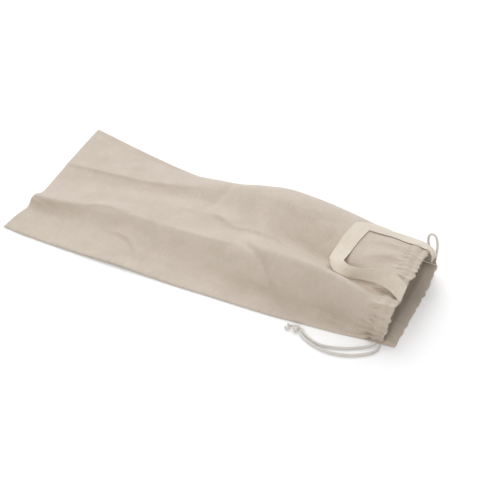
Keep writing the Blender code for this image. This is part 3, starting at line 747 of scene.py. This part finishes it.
def build_back():
    stations = np.concatenate((np.linspace(0, 6, 5), np.linspace(6, 560, 110)[1:], np.linspace(560, 640, 48)[1:]))
    shares = np.concatenate(([0, 0.004, 0.01], np.linspace(0.018, 0.982, 66), [0.99, 0.996, 1.0]))
    xyz = np.empty((len(stations), len(shares), 3))
    uv = np.empty((len(stations), len(shares), 2))
    for i, st in enumerate(stations):
        near, far = float(sec("near_y", st)) + 0.9, float(sec("far_y", st)) - 0.9
        y = near + (far - near) * shares
        inset = table(BOTTOM_EDGE, BOTTOM_EDGE_COLUMNS, "inset", y)
        x = st + inset * (1 - smoothstep(st / 150.0)) + (3 + 5 * shares) * smoothstep((st - 540) / 100.0)
        if st < 1:
            x = x + 0.8
        z = back_lift(np.full_like(y, st), y)
        xyz[i, :, 0], xyz[i, :, 1], xyz[i, :, 2] = x, y, z
        uv[i, :, 0], uv[i, :, 1] = st, (y - 0.5 * (near + far)) * 1.25 + 400
    st = stations[:, None] * np.ones((1, len(shares)))
    hem_d = BAG_LENGTH - st
    y = xyz[:, :, 1]
    span = (xyz[:, -1:, 1] - xyz[:, :1, 1])
    d = np.minimum(y - xyz[:, :1, 1], xyz[:, -1:, 1] - y)
    lift = np.zeros_like(st)
    r = np.random.default_rng(9)
    at = 4.0
    while at < 168:
        c, w = at + r.uniform(-2, 2), r.uniform(1.7, 3.2)
        pos = (y - xyz[:, :1, 1]) * (172.0 / span)
        away = hem_d - 21
        reach = np.where(away > 0, np.exp(-np.maximum(away, 0) / r.uniform(8, 20)), 0.8)
        lift += r.uniform(0.5, 1.1) * np.exp(-((pos - c) / (w * (1 + np.maximum(away, 0) / 30))) ** 2) * reach
        at += r.uniform(7, 12)
    lift += 1.1 * smoothstep((24 - hem_d) / 3) + 0.9 * np.exp(-((hem_d - 14) / 4.5) ** 2) - 0.7 * np.exp(-((hem_d - 22) / 2) ** 2)
    lift = np.maximum(lift, 0) * smoothstep(d / 6)
    # small swells where the cloth isn't pressed down, clear of the surface below
    soft = waves(220, 6, 30, 80, 14)(y) * waves(640, 5, 60, 200, 15)(st)
    lift += 0.35 * np.maximum(soft, 0) * smoothstep(d / 12)
    xyz[:, :, 0] += 1.0 * waves(172, 7, 9, 24, 17)(y) * np.exp(-hem_d / 8) * smoothstep(d / 8)
    top = xyz.copy()
    top[:, :, 2] += 0.95 + lift
    return top, uv, xyz


back_top, back_uv, back_low = build_back()


def closed_pair(name, top, low, uv_mm, mat):
    """A sheet whose upper and lower faces are both given: joined round the rim into one closed body."""
    nu, nv = top.shape[:2]
    n = nu * nv
    verts = np.concatenate((world(top.reshape(-1, 3)), world(low.reshape(-1, 3))))
    idx = np.arange(n).reshape(nu, nv)
    up = np.stack((idx[:-1, :-1], idx[1:, :-1], idx[1:, 1:], idx[:-1, 1:]), -1).reshape(-1, 4)
    down = up[:, ::-1] + n
    rim = np.concatenate((idx[0, :], idx[1:, -1], idx[-1, -2::-1], idx[-2:0:-1, 0]))
    nxt = np.roll(rim, -1)
    wall = np.stack((rim, nxt, nxt + n, rim + n), -1)
    mesh = bpy.data.meshes.new(name)
    mesh.from_pydata(verts.tolist(), [], np.concatenate((up, down, wall)).tolist())
    layer = mesh.uv_layers.new(name="cloth")
    loops = np.empty(len(mesh.loops), int)
    mesh.loops.foreach_get("vertex_index", loops)
    flat = np.concatenate((uv_mm.reshape(-1, 2), uv_mm.reshape(-1, 2) + (0, 300))) * MM
    layer.data.foreach_set("uv", flat[loops].astype(np.float32).ravel())
    mesh.polygons.foreach_set("use_smooth", np.ones(len(mesh.polygons), bool))
    mesh.materials.append(mat)
    bm = bmesh.new()
    bm.from_mesh(mesh)
    bmesh.ops.recalc_face_normals(bm, faces=bm.faces)
    bm.to_mesh(mesh)
    bm.free()
    obj = bpy.data.objects.new(name, mesh)
    bpy.context.scene.collection.objects.link(obj)
    return obj


back = closed_pair("cloth_back", back_top, back_low, back_uv, LINEN)

# =============================== handle tape ============================================


def tree_of(obj):
    deps = bpy.context.evaluated_depsgraph_get()
    deps.update()
    e = obj.evaluated_get(deps)
    m = e.to_mesh()
    m.transform(obj.matrix_world)
    verts = [v.co.copy() for v in m.vertices]
    polys = [tuple(p.vertices) for p in m.polygons]
    e.to_mesh_clear()
    return BVHTree.FromPolygons(verts, polys)


front_tree = tree_of(front)


def height_at(x, y, tree=None):
    """Top of the cloth under (x, y), mm."""
    p = world((x, y, 300.0))
    hit = (tree or front_tree).ray_cast(Vector(p), Vector((0, 0, -1)))[0]
    return None if hit is None else hit.z / MM


def spline_rows(rows, step):
    """Edge rows carried on a smooth line at an even step, without rounding off its two ends."""
    pts = np.array(rows, float)
    mid = 0.5 * (pts[:, :3] + pts[:, 3:])
    run = np.concatenate(([0], np.cumsum(np.linalg.norm(np.diff(mid, axis=0), axis=1))))
    ext = np.vstack((2 * pts[0] - pts[1], pts, 2 * pts[-1] - pts[-2]))
    out = []
    for s in np.linspace(0, run[-1], int(round(run[-1] / step)) + 1):
        i = min(max(int(np.searchsorted(run, s, side="right")) - 1, 0), len(pts) - 2)
        t = (s - run[i]) / (run[i + 1] - run[i])
        a, b, c, d = ext[i], ext[i + 1], ext[i + 2], ext[i + 3]
        out.append(0.5 * (2 * b + (c - a) * t + (2 * a - 5 * b + 4 * c - d) * t**2 + (3 * b - a - 3 * c + d) * t**3))
    return np.array(out)


def build_tape():
    legs = [spline_rows(rows, 0.85) for rows in (NEAR_LEG, CROSS_BAR, FAR_LEG)]
    edges = np.vstack((legs[0], legs[1][1:], legs[2][1:]))
    count = len(edges)
    shares = np.concatenate(([0.0, 0.018], np.linspace(0.05, 0.95, 15), [0.982, 1.0]))
    xyz = edges[:, None, :3] * (1 - shares[None, :, None]) + edges[:, None, 3:] * shares[None, :, None]
    # clear the cloth, each point for itself, then evened out so that the tape stays smooth
    rise = np.zeros((count, len(shares)))
    for i in range(count):
        for j in range(len(shares)):
            h = height_at(xyz[i, j, 0], xyz[i, j, 1])
            if h is not None:
                rise[i, j] = max(0.0, h + 0.7 - xyz[i, j, 2])
    wide = rise.copy()
    for _ in range(26):
        pad = np.pad(wide, 1, mode="edge")
        soft = 0.4 * wide + 0.2 * (pad[:-2, 1:-1] + pad[2:, 1:-1]) + 0.1 * (pad[1:-1, :-2] + pad[1:-1, 2:])
        wide = np.maximum(rise, soft)
    xyz[:, :, 2] += wide
    mid = xyz[:, len(shares) // 2]
    arc = np.concatenate(([0], np.cumsum(np.linalg.norm(np.diff(mid, axis=0), axis=1))))
    n = normals(xyz)
    n = n * np.sign(n[:, :, 2:3] + 1e-9)
    cup = 0.25 * np.cos(np.pi * (shares - 0.5))[None, :] * (0.6 + 0.4 * np.sin(arc / 23.0))[:, None]
    wave = 0.25 * waves(400, 6, 22, 60, 51)(arc)[:, None] * (2 * shares[None, :] - 1)
    xyz = xyz + n * (cup + np.maximum(wave, -0.1))[..., None]
    uv = np.stack(np.broadcast_arrays(arc[:, None], (shares * TAPE_WIDTH)[None, :]), -1).astype(float)
    return xyz, uv, arc, n


tape_xyz, tape_uv, tape_arc, tape_n = build_tape()
tape = closed_pair("handle_twill", tape_xyz + tape_n * 1.05, tape_xyz, tape_uv, TWILL)

# =============================== drawcord ===============================================

cord_a_path = smooth_path(CORD_A, 0.55)
cord_b_path = smooth_path(CORD_B, 0.55)
far_path = smooth_path(FAR_LOOP, 0.55)
cord_kw = dict(sides=16, twist_mm=9.0, lobes=4, lobe_depth=0.10)
cord_a = tube_mesh("drawcord_a", cord_a_path, CORD_D / 2, CORD, **cord_kw)
cord_b = tube_mesh("drawcord_b", cord_b_path, CORD_D / 2, CORD, **cord_kw)
far_loop = tube_mesh("drawcord_far", far_path, CORD_D / 2 * 0.9, CORD, **cord_kw)


def tail(name, rows, seed):
    path = smooth_path(rows, 0.45)
    t = np.linspace(0, 1, len(path))
    taper = 1.0 + 0.12 * smoothstep((t - 0.6) / 0.4)
    return tube_mesh(name, path, CORD_D / 2 * 0.95, CORD, taper=taper, **cord_kw)


tail_a = tail("drawcord_tip_a", TAIL_A, 1)
tail_b = tail("drawcord_tip_b", TAIL_B, 2)


def knot_path():
    """An overhand knot pulled tight, as a closed trefoil line."""
    t = np.linspace(0, 2 * np.pi, 150, endpoint=False)
    x = (np.sin(t) + 2 * np.sin(2 * t)) * 1.62
    y = (np.cos(t) - 2 * np.cos(2 * t)) * 1.42
    z = -np.sin(3 * t) * 1.75
    p = np.stack((x, y, z), 1)
    tilt = math.radians(28)
    p = np.stack((p[:, 0], p[:, 1] * math.cos(tilt) - p[:, 2] * math.sin(tilt) * 0.5,
                  p[:, 1] * math.sin(tilt) * 0.25 + p[:, 2] * math.cos(tilt)), 1)
    return p + np.array(KNOT_AT)


knot = tube_mesh("drawcord_knot", knot_path(), 2.15, CORD, sides=14, twist_mm=9.0, lobes=4, lobe_depth=0.10, closed=True)

# =============================== stitching ==============================================


def stitches(name, seats, mat):
    """Many small stitches as one mesh: each seat is (start, end, normal) in mm."""
    verts, faces, uvs = [], [], []
    sides = 6
    for start, end, nrm in seats:
        start, end, nrm = (np.asarray(v, float) for v in (start, end, nrm))
        d = end - start
        length = np.linalg.norm(d)
        d = d / length
        side = np.cross(d, nrm)
        side /= np.linalg.norm(side)
        base = len(verts)
        for k, (t, r, h) in enumerate(((0.0, 0.10, -0.22), (0.12, 0.24, 0.02), (0.5, 0.29, 0.14), (0.88, 0.24, 0.02), (1.0, 0.10, -0.22))):
            c = start + d * length * t + nrm * h
            for m in range(sides):
                a = 2 * math.pi * m / sides
                verts.append(c + r * (math.cos(a) * side + math.sin(a) * nrm))
                uvs.append((length * t, r * a))
        for k in range(4):
            for m in range(sides):
                q = (m + 1) % sides
                faces.append((base + k * sides + m, base + k * sides + q, base + (k + 1) * sides + q, base + (k + 1) * sides + m))
        faces.append(tuple(base + m for m in range(sides - 1, -1, -1)))
        faces.append(tuple(base + 4 * sides + m for m in range(sides)))
    mesh = bpy.data.meshes.new(name)
    mesh.from_pydata(world(np.array(verts)).tolist(), [], faces)
    layer = mesh.uv_layers.new(name="cloth")
    loops = np.empty(len(mesh.loops), int)
    mesh.loops.foreach_get("vertex_index", loops)
    layer.data.foreach_set("uv", (np.array(uvs) * MM)[loops].astype(np.float32).ravel())
    mesh.polygons.foreach_set("use_smooth", np.ones(len(mesh.polygons), bool))
    mesh.materials.append(mat)
    bm = bmesh.new()
    bm.from_mesh(mesh)
    bmesh.ops.recalc_face_normals(bm, faces=bm.faces)
    bm.to_mesh(mesh)
    bm.free()
    obj = bpy.data.objects.new(name, mesh)
    bpy.context.scene.collection.objects.link(obj)
    return obj


def line_on(xyz, hem_from_edge, stations, pitch, gap, skip=0.02):
    """Seats of a stitch line at a set distance from the hem edge, on a sheet's grid."""
    i = int(np.argmin(abs((BAG_LENGTH - stations) - hem_from_edge)))
    line = xyz[i]
    n = normals(xyz)[i]
    n = n * np.sign(n[:, 2:3] + 1e-9)
    run = np.concatenate(([0], np.cumsum(np.linalg.norm(np.diff(line, axis=0), axis=1))))
    seats, at = [], run[-1] * skip
    while at + pitch < run[-1] * (1 - skip):
        p = np.array([np.interp(at, run, line[:, k]) for k in range(3)])
        q = np.array([np.interp(at + pitch - gap, run, line[:, k]) for k in range(3)])
        m = np.array([np.interp(at + 0.5 * pitch, run, n[:, k]) for k in range(3)])
        seats.append((p + m * 0.05, q + m * 0.05, m / np.linalg.norm(m)))
        at += pitch
    return seats


back_stations = np.concatenate((np.linspace(0, 6, 5), np.linspace(6, 560, 110)[1:], np.linspace(560, 640, 48)[1:]))
seats = line_on(front_xyz, STITCH, STATIONS, 3.1, 0.7)
seats += line_on(back_top, 22.0, back_stations, 3.1, 0.7)
hem_thread = stitches("hem_stitching", seats, THREAD)


def tape_box(i0, i1, j0, j1):
    """A sewn rectangle on the tape between grid rows i0..i1 and columns j0..j1."""
    top = tape_xyz + tape_n * 1.08
    corners = [(i0, j0), (i1, j0), (i1, j1), (i0, j1), (i0, j0)]
    out = []
    for (a, b), (c, d) in zip(corners, corners[1:]):
        m = max(abs(c - a), abs(d - b))
        ii = np.round(np.linspace(a, c, m + 1)).astype(int)
        jj = np.round(np.linspace(b, d, m + 1)).astype(int)
        pts, nn = top[ii, jj], tape_n[ii, jj]
        run = np.concatenate(([0], np.cumsum(np.linalg.norm(np.diff(pts, axis=0), axis=1))))
        at = 0.3
        while at + 2.0 < run[-1]:
            p = np.array([np.interp(at, run, pts[:, k]) for k in range(3)])
            q = np.array([np.interp(at + 1.9, run, pts[:, k]) for k in range(3)])
            w = np.array([np.interp(at + 1, run, nn[:, k]) for k in range(3)])
            out.append((p, q, w / np.linalg.norm(w)))
            at += 2.5
    return out


seats = tape_box(5, 17, 3, 15) + tape_box(len(tape_arc) - 18, len(tape_arc) - 6, 3, 15)
tape_thread = stitches("handle_stitching", seats, THREAD)

# =============================== floor and light =========================================

floor_mesh = bpy.data.meshes.new("floor")
floor_mesh.from_pydata([(-6, -6, -0.0003), (6, -6, -0.0003), (6, 6, -0.0003), (-6, 6, -0.0003)], [], [(0, 1, 2, 3)])
floor = bpy.data.objects.new("floor", floor_mesh)
bpy.context.scene.collection.objects.link(floor)
fm, fnt, fb = nodes_of("pale_floor")
fb.inputs["Base Color"].default_value = (0.97, 0.97, 0.975, 1)
fb.inputs["Roughness"].default_value = 0.9
fb.inputs["Specular IOR Level"].default_value = 0.1
floor_mesh.materials.append(fm)

w = bpy.data.worlds.new("studio")
w.use_nodes = True
w.node_tree.nodes["Background"].inputs[0].default_value = (1.0, 1.0, 1.0, 1)
w.node_tree.nodes["Background"].inputs[1].default_value = 0.14
bpy.context.scene.world = w


def sun(name, direction, energy, angle, colour):
    data = bpy.data.lights.new(name, "SUN")
    data.energy, data.angle, data.color = energy, angle, colour
    obj = bpy.data.objects.new(name, data)
    bpy.context.scene.collection.objects.link(obj)
    obj.rotation_euler = Vector(direction).to_track_quat("-Z", "Y").to_euler()
    return obj


sun("key_from_far_side", (0.35, -0.69, -0.634), 2.65, 1.15, (0.955, 0.975, 1.0))
sun("fill_from_camera_side", (-0.12, 0.79, -0.601), 1.22, 1.1, (1.0, 0.975, 0.935))
sun("soft_top", (0.10, 0.25, -0.963), 0.80, 1.4, (1.0, 0.995, 0.985))
bpy.context.scene.view_settings.view_transform = "Standard"

# =============================== frame ==================================================

bodies = list(frame["bodies"])
body = bodies[0]
for piece in (front, back, tape, cord_a, cord_b, far_loop, tail_a, tail_b, knot, hem_thread, tape_thread):
    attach(piece, body)
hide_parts("front_panel")
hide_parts("back_panel")
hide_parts("handle_tape")
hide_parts("cord_a")
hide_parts("cord_b")
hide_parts("cord_far_loop")
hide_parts("cord_tail_a")
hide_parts("cord_tail_b")
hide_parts("cord_knot")
